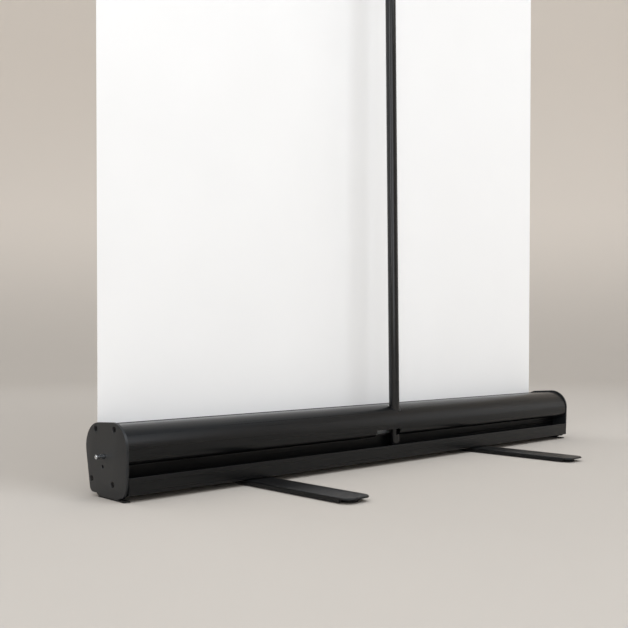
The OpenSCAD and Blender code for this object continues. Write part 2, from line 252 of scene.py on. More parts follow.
# %% Helpers for shapes
def skin(bm, rings, loop=False, caps=True):
    """Joins rings of points, in millimetres. A ring of one point closes to a tip."""
    made = [[bm.verts.new(Vector(p) * MM) for p in ring] for ring in rings]
    for low, high in zip(made, made[1:] + made[:1] if loop else made[1:]):
        for i in range(max(len(low), len(high))):
            corners = [low[i % len(low)], low[(i + 1) % len(low)],
                       high[(i + 1) % len(high)], high[i % len(high)]]
            bm.faces.new(list(dict.fromkeys(corners)))
    if caps and not loop:
        for ring in (made[0], made[-1]):
            if len(ring) > 2:
                bm.faces.new(ring)
    bmesh.ops.recalc_face_normals(bm, faces=bm.faces)
    return bm


def prism(outline, x0, x1, bm=None):
    """An outline drawn in (y, z), drawn out along X from x0 to x1."""
    return skin(bm or bmesh.new(), [[(x, y, z) for y, z in outline] for x in (x0, x1)])


def turned(outline, place=Matrix(), steps=48, loop=False, bm=None, caps=True):
    """An outline of (radius, height) turned about Z and then put in place."""
    angles = [2 * math.pi * i / steps for i in range(steps)]
    rings = [[place @ Vector((r * math.cos(a), r * math.sin(a), h)) for a in (angles if r else [0])]
             for r, h in outline]
    return skin(bm or bmesh.new(), rings, loop, caps)


def arc(circle, start, end, step=4):
    """Points on a circle (y, z, radius) between two angles in degrees."""
    y, z, r = circle
    count = math.ceil(abs(end - start) / step)
    turn = [math.radians(start + (end - start) * i / count) for i in range(count + 1)]
    return [(y + r * math.cos(a), z + r * math.sin(a)) for a in turn]


def rounded(corners, steps=4):
    """An outline whose corners (y, z, radius) are rounded; a corner without a radius stays sharp."""
    points = []
    for i, corner in enumerate(corners):
        here = Vector(corner[:2])
        if len(corner) == 2:
            points.append(here)
            continue
        before = (Vector(corners[i - 1][:2]) - here).normalized()
        after = (Vector(corners[(i + 1) % len(corners)][:2]) - here).normalized()
        half = before.angle(after) / 2
        middle = here + (before + after).normalized() * corner[2] / math.sin(half)
        ends = [here + side * corner[2] / math.tan(half) - middle for side in (before, after)]
        for k in range(steps + 1):
            points.append(middle + ends[0].lerp(ends[1], k / steps).normalized() * corner[2])
    return points


def shrunk(circle, by):
    """The same circle (y, z, radius) with a smaller radius."""
    return circle[0], circle[1], circle[2] - by

# %% [markdown]
# A mesh becomes a piece in two steps. First it is an object with its faces turned outwards and its
# hard edges marked, and holes can be cut in it. Then it gets its finish, and rides on a body in
# place of the plain design node.

# %% Helpers for pieces
def solid(name, bm, crease=30):
    """An object from a bmesh, with edges over crease degrees kept hard."""
    bmesh.ops.recalc_face_normals(bm, faces=bm.faces)
    mesh = bpy.data.meshes.new(name)
    bm.to_mesh(mesh)
    bm.free()
    mesh.shade_smooth()
    mesh.set_sharp_from_angle(angle=math.radians(crease))
    obj = bpy.data.objects.new(name, mesh)
    bpy.context.scene.collection.objects.link(obj)
    return obj


def bake(obj, crease=30):
    """Keeps what the modifiers make of an object as its own plain mesh."""
    depsgraph = bpy.context.evaluated_depsgraph_get()
    shape = bpy.data.meshes.new_from_object(obj.evaluated_get(depsgraph))
    obj.modifiers.clear()
    obj.data = shape
    shape.shade_smooth()
    shape.set_sharp_from_angle(angle=math.radians(crease))
    return obj


def combine(obj, other_bm, operation="DIFFERENCE", crease=30):
    """Cuts another solid out of an object for good, or joins it on with "UNION"."""
    other = solid("other", other_bm)
    modifier = obj.modifiers.new("combine", "BOOLEAN")
    modifier.operation, modifier.solver, modifier.object = operation, "EXACT", other
    modifier.use_self = operation == "UNION"
    bake(obj, crease)
    bpy.data.objects.remove(other)
    return obj


def fit(obj, body, nodes, slot):
    """Gives an object its finish and its place in the frame, and prints its size."""
    obj.data.materials.clear()
    obj.data.materials.append(FINISH[slot])
    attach(obj, body)
    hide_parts(*nodes)
    size = " x ".join(f"{side / MM:.1f}" for side in obj.dimensions)
    print(f"{obj.name}: {len(obj.data.polygons)} faces, {size} mm")
    return obj

# %% [markdown]
# ## The cassette's shell
# The cassette is one aluminium extrusion: a round drum for the roller, a film slot near its top,
# and at its rear a channel that the pole stands in. An extrusion has the same section all along,
# so the section is drawn once, as a single line that runs round the outside, in at the slot and
# back round the inside. The pole's hole and the window beside it are cut in afterwards, as they
# are on the real part.

# %% The cassette's section
DOME_FRONT = (-52.0, 53.0, 27.4)     # circles (y, z, radius) that the end plates are drawn round
DOME_REAR = (-22.5, 54.2, 28.0)
TOE_FRONT = (-64.6, 11.0, 7.0)
TOE_REAR = (-13.6, 19.3, 18.0)
RIM = 0.8                            # how far the end plates stand proud of the shell
DOME_DROP = 2.2                      # how much further they stand proud along its top
WALL = 1.8
BASE_Z = 7.4
REAR_Y = 5.6
LIP_TOP = 26.0
CEILING_Z = 38.0
PARTITION_Y = -21.5
CURL_R = 11.0                        # rounded lower edge of the drum, over the channel's mouth
SLOT = (-68.6, -63.2)                # the film slot, from front to rear


def angle_at(circle, y=None, z=None):
    """The angle at which a circle's upper half has this y, or its left half this z."""
    if y is not None:
        return math.degrees(math.acos((y - circle[0]) / circle[2]))
    return 180 - math.degrees(math.asin((z - circle[1]) / circle[2]))


def tangent(a, b, side=1):
    """The angle at which a straight line touches both circles, on the left of the way from a to b."""
    way = Vector(b[:2]) - Vector(a[:2])
    return math.degrees(math.atan2(way.y, way.x) + side * math.acos((a[2] - b[2]) / way.length))


def shell_circles(inset):
    """The front dome, rear dome and toe of the shell, drawn in by inset from its outside."""
    domes = [(y, z - DOME_DROP, r - RIM - inset) for y, z, r in (DOME_FRONT, DOME_REAR)]
    return *domes, shrunk(TOE_FRONT, RIM + inset)


def shell_section():
    front, rear, toe = shell_circles(0)
    front_in, rear_in, toe_in = shell_circles(WALL)
    curl = (rear[0] + rear[2] - CURL_R, CEILING_Z + CURL_R, CURL_R)
    top, side = tangent(front, rear), tangent(toe, front)
    outside = (
        arc(front, angle_at(front, y=SLOT[1]), top) + arc(rear, top, 0) + arc(curl, 0, -90)[:-1]
        + rounded([
            (curl[0], CEILING_Z), (PARTITION_Y + WALL, CEILING_Z, 1.5),
            (PARTITION_Y + WALL, BASE_Z + WALL, 1.5), (REAR_Y - WALL, BASE_Z + WALL, 1.5),
            (REAR_Y - WALL, LIP_TOP, 0.7), (REAR_Y, LIP_TOP, 0.7), (REAR_Y, BASE_Z, 0.9),
            (toe[0], BASE_Z),
        ])
        + arc(toe, angle_at(toe, z=BASE_Z), side) + arc(front, side, angle_at(front, y=SLOT[0]))
    )
    inside = (
        arc(front_in, angle_at(front_in, y=SLOT[0]), side)
        + arc(toe_in, side, angle_at(toe_in, z=BASE_Z + WALL))
        + rounded([
            (toe[0], BASE_Z + WALL), (PARTITION_Y, BASE_Z + WALL, 1.0),
            (PARTITION_Y, CEILING_Z + WALL, 1.0), (curl[0], CEILING_Z + WALL),
        ])
        + arc(shrunk(curl, WALL), -90, 0)[1:] + arc(rear_in, 0, top)
        + arc(front_in, top, angle_at(front_in, y=SLOT[1]))
    )
    return outside + inside


section = shell_section()
print("points in the section", len(section))

# %% The pole's frame
POLE_AXIS = Vector(next(j for j in frame["joints"] if j["name"] == "rail_height")["axis"])
POLE_FOOT = Vector((0.0, -10.34, 10.0))
LEAN = math.asin(-POLE_AXIS.y)
ON_POLE = Matrix.Translation(POLE_FOOT) @ Matrix.Rotation(LEAN, 4, "X")
print(f"the pole leans {math.degrees(LEAN):.2f} degrees")

# %% Shell, with its hole and window
HALF_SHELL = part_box("cassette_housing")[1].x / MM
HOLE_R = 7.9
CHAMFER = 0.7
WINDOW_X, WINDOW_Y, WINDOW_Z = (4.0, 52.0), (-16.0, 8.0), (37.0, 48.0)
# screws as (y, z, direction of the nearest wall, how far the web reaches towards it)
SCREW_SPOTS = [(-58.0, 73.3, 90, 3.0), (-19.2, 75.0, 90, 3.5), (-67.0, 18.5, 180, 4.6),
               (-23.0, 16.4, 270, 8.0)]


def shell():
    piece = solid("cassette_shell", prism(section, -HALF_SHELL, HALF_SHELL))
    # round ports for the end plates' screws, each on a short web from the wall
    along = Matrix.Rotation(math.radians(90), 4, "Y")
    for y, z, wall_at, reach in SCREW_SPOTS:
        place = Matrix.Translation((0, y, z)) @ along
        port = turned([(1.7, -HALF_SHELL), (3.1, -HALF_SHELL), (3.1, HALF_SHELL),
                       (1.7, HALF_SHELL)], place, steps=24, loop=True)
        out = Vector((math.cos(math.radians(wall_at)), math.sin(math.radians(wall_at))))
        side = Vector((-out.y, out.x)) * 1.2
        foot, head = Vector((y, z)) + out * 2.6, Vector((y, z)) + out * reach
        prism([foot - side, foot + side, head + side, head - side], -HALF_SHELL, HALF_SHELL, port)
        combine(piece, port, "UNION")
    combine(piece, turned([(0, 20), (HOLE_R, 20), (HOLE_R, 45), (HOLE_R + CHAMFER, 45),
                       (HOLE_R + CHAMFER, 85), (0, 85)], ON_POLE, steps=72))
    combine(piece, prism([(y, z) for y, z in ((WINDOW_Y[0], WINDOW_Z[0]), (WINDOW_Y[1], WINDOW_Z[0]),
                                          (WINDOW_Y[1], WINDOW_Z[1]), (WINDOW_Y[0], WINDOW_Z[1]))],
                     *WINDOW_X))
    return piece


fit(shell(), "root", ["cassette_housing"], "cassette_shell")

# %% [markdown]
# The hole is drilled after anodising, so its chamfered rim is bare aluminium. Its edge lies on the
# round dome, and each point of it is found by running a line parallel to the pole up to the dome.

# %% Bare rim of the pole's hole
def on_dome(radius, angle, depth):
    """The point of the dome, less depth, that lies radius away from the pole's axis."""
    start = ON_POLE @ Vector((radius * math.cos(angle), radius * math.sin(angle), 0))
    dome_y, dome_z, dome_r = shell_circles(depth)[1]
    y, z = start.y - dome_y, start.z - dome_z
    dy, dz = POLE_AXIS.y, POLE_AXIS.z
    b, c = y * dy + z * dz, y * y + z * z - dome_r * dome_r
    return start + POLE_AXIS * (-b + math.sqrt(b * b - c))


def hole_rim(steps=72):
    edges = [(HOLE_R, CHAMFER), (HOLE_R + CHAMFER, 0.0), (HOLE_R + CHAMFER, WALL), (HOLE_R, WALL)]
    rings = [[on_dome(radius, 2 * math.pi * i / steps, depth) for i in range(steps)]
             for radius, depth in edges]
    return solid("pole_hole_rim", skin(bmesh.new(), rings, loop=True))


rim = hole_rim()
rim.data.materials.append(FINISH["mill_aluminium"])
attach(rim, "root")

# %% [markdown]
# ## Film slot
# A moulded edge snaps into the slot, so that the film never runs over bare metal. Its nose is
# round, and a thin leg holds it against the slot's rear wall.

# %% Film slot guide
NOSE_R = 1.2


def slot_guide():
    half, _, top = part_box("slot_guide")[1] / MM
    nose = arc((SLOT[1] - NOSE_R, top - NOSE_R, NOSE_R), 0, 180, step=12)
    leg = rounded([(SLOT[1] - 2.2, top - 2.1), (SLOT[1] - 1.1, top - 2.9, 0.3),
                   (SLOT[1] - 1.1, top - 4.1, 0.3), (SLOT[1] - 0.02, top - 4.1, 0.3)])
    return solid("film_slot_guide", prism(nose + leg, -half, half))


fit(slot_guide(), "root", ["slot_guide"], "black_plastic")

# %% [markdown]
# ## End plates
# Each end plate is a moulding whose outline follows the drum, with a lug at the bottom that
# carries the rubber strip. Its outer edge is only just rounded, by a bevel on that one loop of
# edges, and the holes are cut after it so that they stay crisp.

# %% End plates
LOCK_HOLE = (-43.3, 33.5)
ROLLER = Vector((0.0, -40.0, 45.0))
PLATE_IN, PLATE_OUT = (corner.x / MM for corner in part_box("end_plate_near"))
LUG = [(-7.1, 4.0), (-12.7, 1.5), (-53.0, 1.5), (-56.8, 4.0), (-62.0, 4.0)]


def plate_outline():
    top, side = tangent(DOME_FRONT, DOME_REAR), tangent(TOE_FRONT, DOME_FRONT)
    rear = tangent(TOE_REAR, DOME_REAR, side=-1)
    foot = math.degrees(math.asin((LUG[0][1] - TOE_REAR[1]) / TOE_REAR[2]))
    return (arc(DOME_REAR, top, rear) + arc(TOE_REAR, rear, foot) + LUG
            + arc(TOE_FRONT, 269, side) + arc(DOME_FRONT, side, top + 1))


def along_x(side, y, z):
    """Turns a shape's Z into the outward X of one end, at this y and z."""
    return Matrix.Translation((0, y, z)) @ Matrix.Rotation(math.radians(90 * side), 4, "Y")


def end_plate(name, side):
    bm = prism(plate_outline(), side * PLATE_IN, side * PLATE_OUT)
    rim_edges = [e for e in bm.edges if all(abs(v.co.x) > (PLATE_OUT - 0.1) * MM for v in e.verts)]
    bmesh.ops.bevel(bm, geom=rim_edges, offset=0.5 * MM, segments=4, profile=0.5, affect="EDGES")
    piece = solid(name, bm, crease=12)
    holes = bmesh.new()
    turned([(0, PLATE_IN - 1), (2.7, PLATE_IN - 1), (2.7, PLATE_OUT - 0.4), (3.2, PLATE_OUT + 0.1),
            (0, PLATE_OUT + 0.1)], along_x(side, ROLLER.y, ROLLER.z), bm=holes)
    turned([(0, PLATE_IN - 1), (1.8, PLATE_IN - 1), (1.8, PLATE_OUT - 0.4), (2.3, PLATE_OUT + 0.1),
            (0, PLATE_OUT + 0.1)], along_x(side, *LOCK_HOLE), steps=32, bm=holes)
    for y, z, *_ in SCREW_SPOTS:
        turned([(0, PLATE_IN - 1), (2.0, PLATE_IN - 1), (2.0, PLATE_OUT - 1.6), (3.2, PLATE_OUT - 1.6),
                (3.2, PLATE_OUT - 0.4), (3.7, PLATE_OUT + 0.1), (0, PLATE_OUT + 0.1)],
               along_x(side, y, z), steps=32, bm=holes)
    return combine(piece, holes, crease=12)


for end, side in (("near", 1), ("far", -1)):
    fit(end_plate(f"end_cap_{end}", side), "root", [f"end_plate_{end}"], "end_plate")

# %% [markdown]
# ## Screws
# Four identical self-tapping screws hold each plate. One screw is turned and gets its cross
# recess. A node tree then puts it at the four ports, each twisted by a different amount, because
# no fitter stops at the same angle twice.

# %% One screw
def screw():
    thread = [(r, -3.0 - 0.9 * i - step) for i in range(11) for r, step in ((1.25, 0.0), (1.6, 0.45))]
    body = [(0, 0), (1.9, 0), (2.6, -0.25), (3.0, -0.75), (3.0, -1.2), (1.3, -1.2)] + thread + [(0, -14.2)]
    piece = solid("screw", turned(body, Matrix.Rotation(math.radians(90), 4, "Y"), steps=24))
    for turn in (0, 90):
        arms = [Matrix.Rotation(math.radians(turn), 4, "X") @ Vector((x, y, z))
                for x, half in ((0.2, 1.8), (-0.9, 0.7))
                for y, z in ((-half, -0.3), (half, -0.3), (half, 0.3), (-half, 0.3))]
        combine(piece, skin(bmesh.new(), [arms[:4], arms[4:]]))
    return piece


def geometry_tree(name, sizes):
    """A node tree with named number inputs, and its input and output nodes."""
    tree = bpy.data.node_groups.new(name, "GeometryNodeTree")
    tree.interface.new_socket("Geometry", in_out="INPUT", socket_type="NodeSocketGeometry")
    tree.interface.new_socket("Geometry", in_out="OUTPUT", socket_type="NodeSocketGeometry")
    for label in sizes:
        tree.interface.new_socket(label, in_out="INPUT", socket_type="NodeSocketFloat")
    return tree, tree.nodes.new("NodeGroupInput"), tree.nodes.new("NodeGroupOutput")


def grown(name, tree, sizes, start=None, crease=30):
    """The plain mesh that a node tree makes at these sizes, as an object."""
    obj = start or bpy.data.objects.new(name, bpy.data.meshes.new(name))
    if not start:
        bpy.context.scene.collection.objects.link(obj)
    obj.name = name
    modifier = obj.modifiers.new("shape", "NODES")
    modifier.node_group = tree
    for item in tree.interface.items_tree:
        if item.in_out == "INPUT" and item.name in sizes:
            modifier[item.identifier] = float(sizes[item.name])
    return bake(obj, crease)

# %% Screws at both ends
def screws_tree(one_screw):
    tree, given, result = geometry_tree("screws_at_ports", ["Turn"])
    master = add(tree, "GeometryNodeObjectInfo", {"Object": one_screw})
    twist = add(tree, "FunctionNodeRandomValue", {2: 0.0, 3: math.pi / 2, "Seed": 7}, data_type="FLOAT")
    aim = add(tree, "ShaderNodeCombineXYZ", {"X": twist.outputs[1], "Z": given.outputs["Turn"]})
    placed = add(tree, "GeometryNodeInstanceOnPoints", {
        "Points": given.outputs["Geometry"], "Instance": master.outputs["Geometry"],
        "Rotation": aim.outputs["Vector"],
    })
    real = add(tree, "GeometryNodeRealizeInstances", {"Geometry": placed.outputs["Instances"]})
    painted = add(tree, "GeometryNodeSetMaterial", {
        "Geometry": real.outputs["Geometry"], "Material": FINISH["screw"],
    })
    tree.links.new(painted.outputs["Geometry"], result.inputs["Geometry"])
    return tree


one_screw = screw()
ports = screws_tree(one_screw)
for end, side in (("near", 1), ("far", -1)):
    spots = bpy.data.meshes.new("ports")
    spots.from_pydata([Vector((side * (PLATE_OUT - 0.35), y, z)) * MM for y, z, *_ in SCREW_SPOTS], [], [])
    start = bpy.data.objects.new("ports", spots)
    bpy.context.scene.collection.objects.link(start)
    screws = grown(f"end_cap_screws_{end}", ports, {"Turn": 0 if side > 0 else math.pi}, start)
    fit(screws, "root", [f"end_plate_screws_{end}"], "screw")
bpy.data.objects.remove(one_screw)

# %% [markdown]
# ## Turned parts
# Shafts, bushes, tubes and washers are all turned, so their outlines are short lists of radius and
# height. Every edge gets a small chamfer, because it is the chamfer that catches the light.

# %% Outlines of turned parts
def rod(radius, low, high, chamfer=0.4):
    return [(0, low), (radius - chamfer, low), (radius, low + chamfer),
            (radius, high - chamfer), (radius - chamfer, high), (0, high)]


def tube(outer, inner, low, high, chamfer=0.2):
    return [(inner, low), (outer - chamfer, low), (outer, low + chamfer),
            (outer, high - chamfer), (outer - chamfer, high), (inner, high)]


def ends(node):
    """Where a node starts and stops along X, in millimetres."""
    return [corner.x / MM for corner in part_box(node)]

# %% [markdown]
# ## Roller and spring
# The roller turns on two fixed shafts, and the spring inside it is wound between the longer shaft
# and a block in the tube. The shafts come out through the end plates, which carry them.

# %% Shafts, roller and plugs
SHAFT_R, ROLLER_R, ROLLER_WALL = 2.5, 11.0, 1.2
ON_ROLLER = along_x(1, ROLLER.y, ROLLER.z)
BORE_R = ROLLER_R - ROLLER_WALL


def on_roller(outline, **options):
    """A part turned about the roller's axis."""
    return turned(outline, ON_ROLLER, **options)


def plug(node, side):
    """A plug that ends in a flange, bored for the shaft."""
    low, high = ends(node)
    flange = 1.5
    inner, outer = (low, high) if side > 0 else (high, low)
    return on_roller([
        (SHAFT_R + 0.05, inner), (BORE_R - 0.45, inner), (BORE_R - 0.05, inner + side * 0.4),
        (BORE_R - 0.05, outer - side * flange), (ROLLER_R + 0.4, outer - side * flange),
        (ROLLER_R + 0.4, outer - side * 0.3), (ROLLER_R + 0.1, outer), (SHAFT_R + 0.05, outer),
    ], loop=True)


def washer(node):
    return on_roller(tube(7, SHAFT_R + 0.05, *ends(node)), loop=True)


ROLLER_PARTS = [
    ("spring_axle", on_roller(rod(SHAFT_R, *ends("spring_shaft"))),
     "root", "spring_shaft", "plated_steel"),
    ("idler_axle", on_roller(rod(SHAFT_R, *ends("idler_shaft"))),
     "root", "idler_shaft", "plated_steel"),
    ("nylon_washer_near", washer("thrust_washer_near"), "root", "thrust_washer_near", "nylon"),
    ("nylon_washer_far", washer("thrust_washer_far"), "root", "thrust_washer_far", "nylon"),
    ("roller_core", on_roller(tube(ROLLER_R, BORE_R, *ends("roller_tube")), steps=64, loop=True),
     "roller", "roller_tube", "mill_aluminium"),
    ("roller_plug_at_spring", plug("roller_plug_near", 1), "roller", "roller_plug_near", "black_plastic"),
    ("roller_plug_at_idler", plug("roller_plug_far", -1), "roller", "roller_plug_far", "black_plastic"),
    ("spring_block", on_roller(rod(BORE_R - 0.05, *ends("spring_anchor"), 0.8)),
     "roller", "spring_anchor", "black_plastic"),
]
for name, bm, body, node, slot in ROLLER_PARTS:
    fit(solid(name, bm, crease=25), body, [node], slot)

# %% [markdown]
# The spring is a wire that follows a helix. A spiral curve is the path and a small circle is the
# wire's section, so the number of turns, the coil's size and the wire's can all be changed alone.

# %% Spring
def spring_tree():
    tree, given, result = geometry_tree("wound_wire", ["Turns", "Coil Radius", "Wire Radius", "Length"])
    path = add(tree, "GeometryNodeCurveSpiral", {
        "Resolution": 20, "Rotations": given.outputs["Turns"], "Height": given.outputs["Length"],
        "Start Radius": given.outputs["Coil Radius"], "End Radius": given.outputs["Coil Radius"],
    })
    section_of_wire = add(tree, "GeometryNodeCurvePrimitiveCircle", {
        "Resolution": 10, "Radius": given.outputs["Wire Radius"],
    })
    wire = add(tree, "GeometryNodeCurveToMesh", {
        "Curve": path.outputs["Curve"], "Profile Curve": section_of_wire.outputs["Curve"],
        "Fill Caps": True,
    })
    real = add(tree, "GeometryNodeRealizeInstances", {"Geometry": wire.outputs["Mesh"]})
    painted = add(tree, "GeometryNodeSetMaterial", {
        "Geometry": real.outputs["Geometry"], "Material": FINISH["spring_steel"],
    })
    tree.links.new(painted.outputs["Geometry"], result.inputs["Geometry"])
    return tree


spring_low, spring_high = ends("torsion_spring")
spring = grown("winding_spring", spring_tree(), {
    "Turns": 20, "Coil Radius": 6.5 * MM, "Wire Radius": 0.9 * MM,
    "Length": (spring_high - spring_low - 1.8) * MM,
})
to_roller = Matrix.Translation((0, 0, spring_low + 0.9))
spring.data.transform(Matrix.Scale(MM, 4) @ ON_ROLLER @ to_roller @ Matrix.Scale(1 / MM, 4))
fit(spring, "root", ["torsion_spring"], "spring_steel")

# %% [markdown]
# ## Film
# The film is one strip: a few turns on the roller, a short lead to the slot, the banner itself and
# an edge clamped in the rail. The turns on the roller follow a spiral, and the section of the roll
# is that spiral with the film's thickness.

# %% Turns on the roller, lead and clamped edge
FILM = 0.4
HALF_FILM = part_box("banner_sheet")[1].x / MM
FILM_Y = sum(corner.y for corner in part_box("banner_sheet")) / 2 / MM
SLOT_TOP, RAIL_Z = (corner.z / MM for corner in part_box("banner_sheet"))
FIRST_TURN, LAST_TURN, TURNS = 11.05, 13.2, 4


def spiral(thickness, steps=60):
    """One face of the wound film, from the inside out."""
    points = []
    for i in range(TURNS * steps + 1):
        r = FIRST_TURN + (LAST_TURN - FILM - FIRST_TURN) * i / (TURNS * steps) + thickness
        turn = 2 * math.pi * i / steps
        points.append((ROLLER.y + r * math.cos(turn), ROLLER.z + r * math.sin(turn)))
    return points


def lead():
    to_slot = Vector((FILM_Y - ROLLER.y, SLOT_TOP - ROLLER.z))
    clear = LAST_TURN + 0.35 + FILM / 2
    leave = math.atan2(to_slot.y, to_slot.x) + math.acos(clear / to_slot.length)
    out = Vector((math.cos(leave), math.sin(leave)))
    start = Vector(ROLLER.yz) + out * clear
    return [start - out * FILM / 2, start + out * FILM / 2,
            (FILM_Y - FILM / 2, SLOT_TOP), (FILM_Y + FILM / 2, SLOT_TOP)]


edge_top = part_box("banner_top_edge")[1].z / MM
clamped = rounded([(FILM_Y - FILM / 2, RAIL_Z), (FILM_Y + FILM / 2, RAIL_Z),
                   (FILM_Y + FILM / 2, edge_top, 0.15), (FILM_Y - FILM / 2, edge_top, 0.15)])
film_roll = fit(solid("film_on_roller", prism(spiral(0) + spiral(FILM)[::-1], -HALF_FILM, HALF_FILM)),
                "roller", ["banner_roll"], "banner_film")
film_lead = fit(solid("film_lead", prism(lead(), -HALF_FILM, HALF_FILM)),
                "root", ["banner_lead"], "banner_film")
film_edge = fit(solid("film_clamped_edge", prism(clamped, -HALF_FILM, HALF_FILM)),
                "top_rail", ["banner_top_edge"], "banner_film")

# %% [markdown]
# The banner follows a simple rule. It is held flat by the slot below and the rail above, and in
# between its two free edges curl back a little, since film remembers the roll. A node tree makes a
# grid, moves each point by that rule and then gives the sheet its thickness.

# %% Banner sheet
def sheet_tree():
    tree, given, result = geometry_tree(
        "hanging_film", ["Width", "Height", "Thickness", "Front", "Bottom", "Curl", "Ripple"])

    def calc(operation, a, b=0.0):
        return add(tree, "ShaderNodeMath", {0: a, 1: b}, operation=operation).outputs[0]

    grid = add(tree, "GeometryNodeMeshGrid", {
        "Size X": given.outputs["Width"], "Size Y": given.outputs["Height"],
        "Vertices X": 65, "Vertices Y": 97,
    })
    at = add(tree, "ShaderNodeSeparateXYZ", {0: add(tree, "GeometryNodeInputPosition").outputs[0]})
    across = calc("DIVIDE", at.outputs["X"], calc("MULTIPLY", given.outputs["Width"], 0.5))
    up = calc("ADD", calc("DIVIDE", at.outputs["Y"], given.outputs["Height"]), 0.5)
    free = calc("POWER", calc("ABSOLUTE", calc("SINE", calc("MULTIPLY", up, math.pi))), 0.5)
    edge = calc("MULTIPLY", calc("POWER", calc("ABSOLUTE", across), 8.0), given.outputs["Curl"])
    wave = calc("MULTIPLY", calc("SINE", calc("MULTIPLY", across, 2.6)), given.outputs["Ripple"])
    back = calc("ADD", given.outputs["Front"], calc("MULTIPLY", calc("ADD", edge, wave), free))
    height = calc("ADD", calc("MULTIPLY", up, given.outputs["Height"]), given.outputs["Bottom"])
    place = add(tree, "ShaderNodeCombineXYZ", {"X": at.outputs["X"], "Y": back, "Z": height})
    hung = add(tree, "GeometryNodeSetPosition", {
        "Geometry": grid.outputs["Mesh"], "Position": place.outputs["Vector"],
    })
    depth = add(tree, "ShaderNodeCombineXYZ", {"Y": given.outputs["Thickness"]})
    rear_face = add(tree, "GeometryNodeExtrudeMesh", {
        "Mesh": hung.outputs["Geometry"], "Offset": depth.outputs["Vector"],
        "Offset Scale": 1.0, "Individual": False,
    }, mode="FACES")
    front_face = add(tree, "GeometryNodeFlipFaces", {"Mesh": hung.outputs["Geometry"]})
    both = add(tree, "GeometryNodeJoinGeometry", {"Geometry": rear_face.outputs["Mesh"]})
    tree.links.new(front_face.outputs["Mesh"], both.inputs["Geometry"])
    merged = add(tree, "GeometryNodeMergeByDistance", {
        "Geometry": both.outputs["Geometry"], "Distance": 0.01 * MM,
    })
    real = add(tree, "GeometryNodeRealizeInstances", {"Geometry": merged.outputs["Geometry"]})
    painted = add(tree, "GeometryNodeSetMaterial", {
        "Geometry": real.outputs["Geometry"], "Material": FINISH["banner_film"],
    })
    tree.links.new(painted.outputs["Geometry"], result.inputs["Geometry"])
    return tree


film_height = RAIL_Z - SLOT_TOP
film_sheet = grown("film_sheet", sheet_tree(), {
    "Width": 2 * HALF_FILM * MM, "Height": film_height * MM, "Thickness": FILM * MM,
    "Front": (FILM_Y - FILM / 2) * MM, "Bottom": SLOT_TOP * MM, "Curl": 1.2 * MM, "Ripple": 0.5 * MM,
})
turn_out = bmesh.new()
turn_out.from_mesh(film_sheet.data)
bmesh.ops.recalc_face_normals(turn_out, faces=turn_out.faces)
turn_out.to_mesh(film_sheet.data)
turn_out.free()
film_sheet.data.set_sharp_from_angle(angle=math.radians(30))
fit(film_sheet, "root", ["banner_sheet"], "banner_film")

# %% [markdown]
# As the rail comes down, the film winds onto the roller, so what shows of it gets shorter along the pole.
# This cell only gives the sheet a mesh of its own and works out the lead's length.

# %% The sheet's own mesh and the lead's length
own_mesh(film_sheet)
lead_length = (Vector(lead()[1]) - Vector((FILM_Y, SLOT_TOP))).length * MM

# %% [markdown]
# ## Pole
# Three tubes slide in one another. A collar with grip ribs closes the mouth of each lower tube. The
# ribs repeat round the collar, so a node tree copies one rib along a circle.

# %% Tubes, bushes, plug, socket and sleeve
LOWER_R, MIDDLE_R, TOP_R = 7.25, 5.9, 4.65
TUBE_WALL, GAP = 1.0, 0.05
LOWER_L, UPPER_L, OVERLAP = 780.0, 764.0, 130.0
MIDDLE_S = LOWER_L - OVERLAP
TOP_S = MIDDLE_S + UPPER_L - OVERLAP
TIP_S = TOP_S + UPPER_L


def bush(start, tube_r, bore_r):
    """A bush pressed into a tube's lower end, with a slit collar that runs in the next tube."""
    stem = tube_r - TUBE_WALL - GAP
    return turned([(0, start - 6), (bore_r - 0.5, start - 6), (bore_r - 0.08, start - 5.6),
                   (bore_r - 0.08, start - 0.4), (bore_r - 0.4, start), (stem, start),
                   (stem, start + 13.6), (stem - 0.4, start + 14), (0, start + 14)], ON_POLE)


def pole_tube(start, length, radius):
    outline = tube(radius, radius - TUBE_WALL, start, start + length, 0.15)
    return turned(outline, ON_POLE, steps=64, loop=True)


socket_at = Matrix.Translation((0, POLE_FOOT.y, 0))
POLE_PARTS = [
    ("tube_lower", pole_tube(0, LOWER_L, LOWER_R), "root", "pole_lower_tube", "pole_tube"),
    ("tube_middle", pole_tube(MIDDLE_S, UPPER_L, MIDDLE_R), "pole_middle", "pole_middle_tube", "pole_tube"),
    ("tube_top", pole_tube(TOP_S, UPPER_L, TOP_R), "top_rail", "pole_top_tube", "pole_tube"),
    ("bush_middle", bush(MIDDLE_S, MIDDLE_R, LOWER_R - TUBE_WALL), "pole_middle", "pole_middle_bush",
     "black_plastic"),
    ("bush_top", bush(TOP_S, TOP_R, MIDDLE_R - TUBE_WALL), "top_rail", "pole_top_bush", "black_plastic"),
    ("foot_plug", turned(rod(LOWER_R - TUBE_WALL - GAP, 0, 20, 0.8), ON_POLE), "root", "pole_foot_plug",
     "black_plastic"),
    ("guide_sleeve", turned(tube(LOWER_R + 1.1, LOWER_R + GAP, 40, 53, 0.3), ON_POLE, loop=True), "root",
     "pole_guide_sleeve", "black_plastic"),
    ("socket_cup", turned([
        (0, 9.2), (LOWER_R + 1.9, 9.2), (LOWER_R + 1.9, 22.8), (LOWER_R + 1.5, 23.2),
        (LOWER_R + 0.8, 23.2), (LOWER_R + 0.15, 22.6), (LOWER_R + 0.15, 10.4), (0, 10.4),
    ], socket_at), "root", "pole_socket", "black_plastic"),
]
for name, bm, body, node, slot in POLE_PARTS:
    fit(solid(name, bm, crease=25), body, [node], slot)

